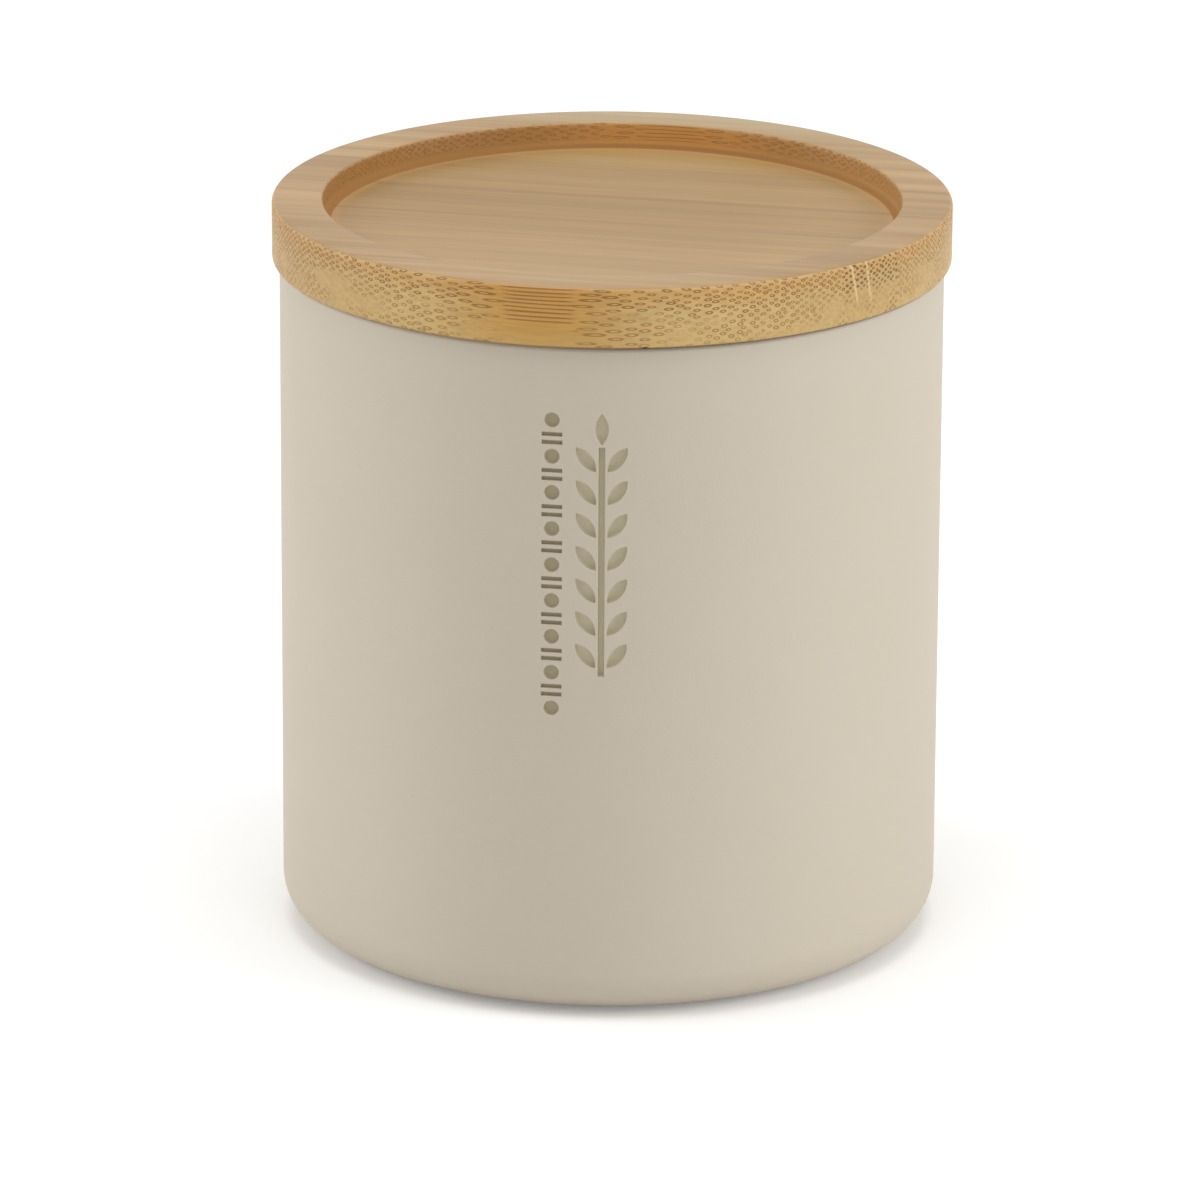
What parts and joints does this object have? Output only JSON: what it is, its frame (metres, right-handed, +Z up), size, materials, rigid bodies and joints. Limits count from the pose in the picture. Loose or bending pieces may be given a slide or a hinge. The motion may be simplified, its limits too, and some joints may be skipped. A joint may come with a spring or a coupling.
{
  "type": "lidded cotton jar",
  "caption": "Round jar of matte beige cast resin with a rounded foot and a carved sprig on its front, closed by a thick dished bamboo lid whose sealed plug lifts out of the mouth.",
  "frame": {"origin": "centre of the face that the jar stands on", "axes": "+Z up along the jar's axis, -Y towards the decorated front, +X to the right seen from the front"},
  "size_m": [0.1, 0.1, 0.111],
  "materials": {
    "resin": "matte cast stone-filled resin",
    "bamboo": "satin oiled bamboo",
    "silicone": "soft translucent white",
    "foam": "matte closed-cell foam"
  },
  "bodies": {
    "jar": {"jar": "resin", "foot_pad": "foam"},
    "lid": {"lid": "bamboo", "seal_ring": "silicone"}
  },
  "joints": [
    {"name": "lid_lift", "type": "slide", "parent": "jar", "child": "lid", "axis": [0, 0, 1], "range_m": [0, 0.05]}
  ]
}
